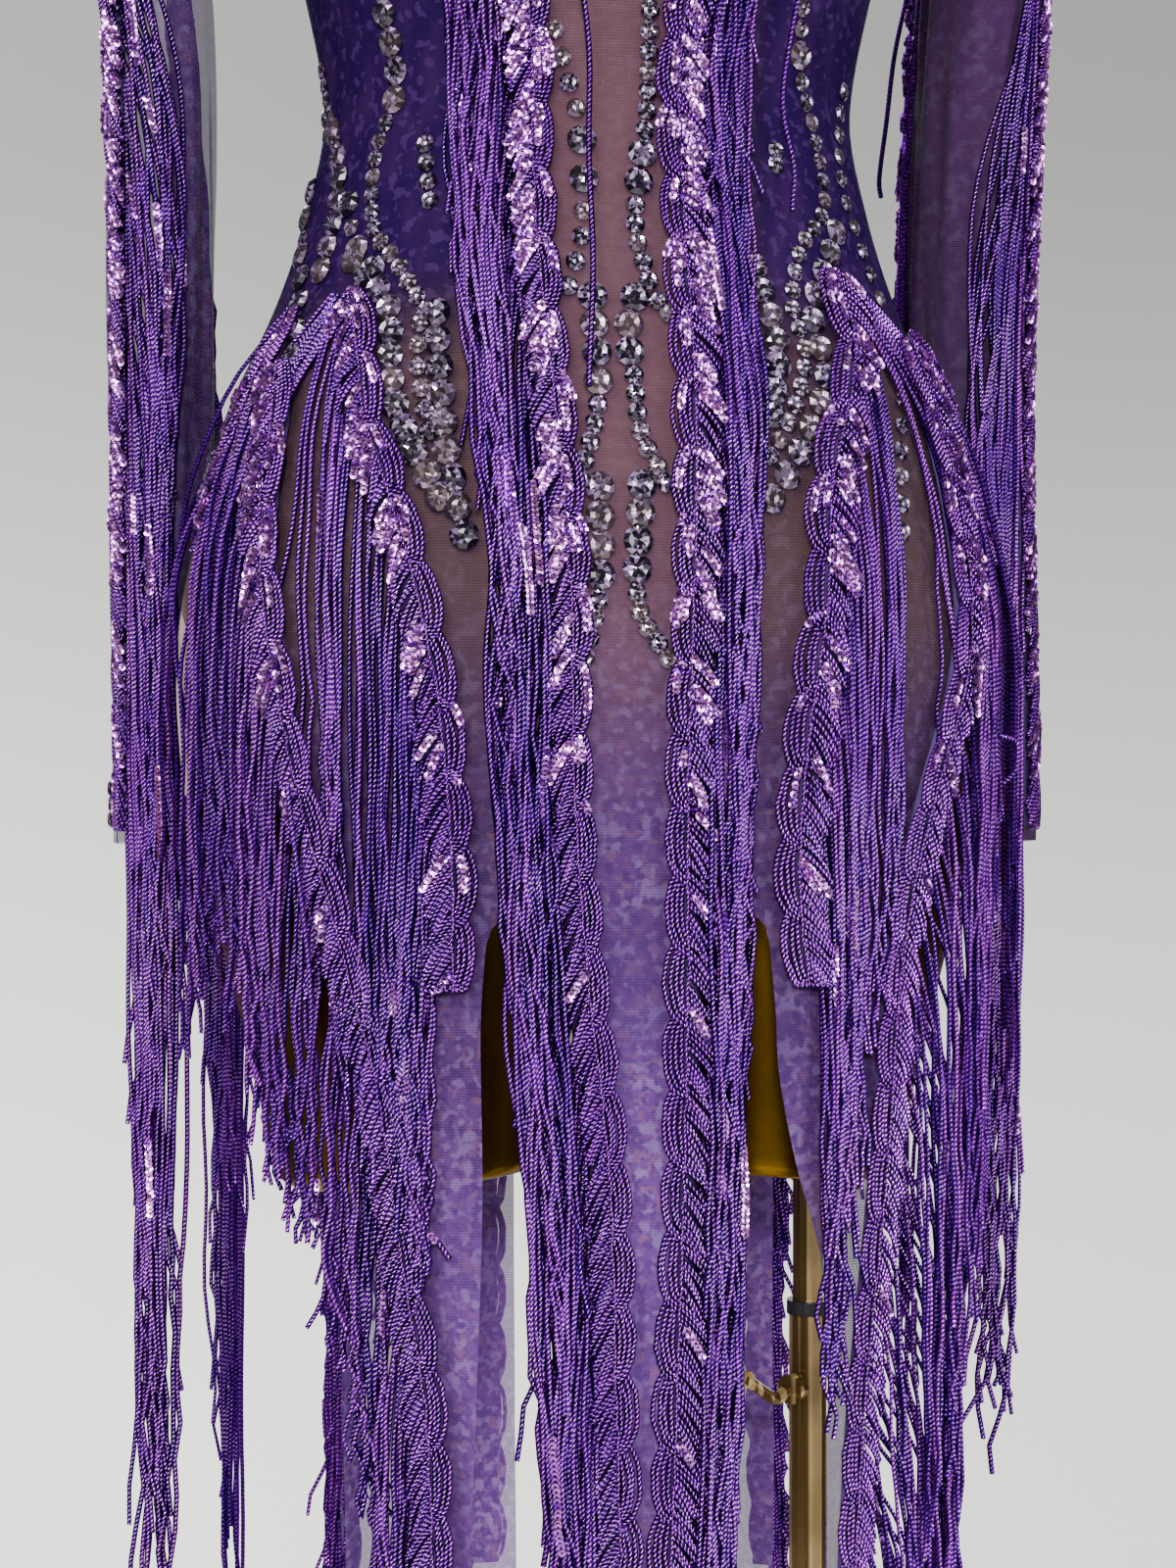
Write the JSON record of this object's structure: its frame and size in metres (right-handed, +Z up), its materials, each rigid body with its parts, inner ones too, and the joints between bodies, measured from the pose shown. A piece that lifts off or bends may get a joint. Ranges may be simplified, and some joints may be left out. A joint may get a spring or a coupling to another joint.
{
  "type": "latin dance dress on a dress form",
  "caption": "Long-sleeved stretch-mesh dance dress with beaded fringe and slit skirt strips, worn by a limbless dress form on a pole stand with a round base.",
  "frame": {"origin": "middle of the round base's underside, where the stand rests on the floor", "axes": "+Z up along the pole; the front of the dress faces -Y; +X is the viewer's right when facing the front"},
  "size_m": [0.4438, 0.38, 1.5],
  "materials": {
    "stretch_mesh": "sheer power mesh, mottled",
    "beaded_fringe": "stacked sequins, sparkling",
    "form_cover": "matte jersey",
    "gold_shell": "gold-coated, mirror polish",
    "pole_brass": "polished",
    "black_rubber": "matte",
    "base_metal": "satin plated"
  },
  "bodies": {
    "root": {"front_panel": "stretch_mesh", "back_panel": "stretch_mesh", "sleeve_left": "stretch_mesh", "sleeve_right": "stretch_mesh", "fringe_front_centre_left": "beaded_fringe", "fringe_front_centre_right": "beaded_fringe", "fringe_front_hip_left": "beaded_fringe", "fringe_front_hip_right": "beaded_fringe", "fringe_front_edge_left": "beaded_fringe", "fringe_front_edge_right": "beaded_fringe", "fringe_side_left": "beaded_fringe", "fringe_side_right": "beaded_fringe", "fringe_back_centre_left": "beaded_fringe", "fringe_back_centre_right": "beaded_fringe", "fringe_back_hip_left": "beaded_fringe", "fringe_back_hip_right": "beaded_fringe", "fringe_back_edge_left": "beaded_fringe", "fringe_back_edge_right": "beaded_fringe", "fringe_sleeve_left_front": "beaded_fringe", "fringe_sleeve_left_back": "beaded_fringe", "fringe_sleeve_right_front": "beaded_fringe", "fringe_sleeve_right_back": "beaded_fringe", "form_torso": "form_cover", "form_thigh_left": "gold_shell", "form_thigh_right": "gold_shell", "base_plate": "base_metal", "pole_socket": "pole_brass", "pole_lower_tube": "pole_brass", "pole_upper_tube": "pole_brass", "clamp_boss": "pole_brass", "clamp_handle": "pole_brass", "pole_grip_ring": "black_rubber"}
  },
  "joints": []
}
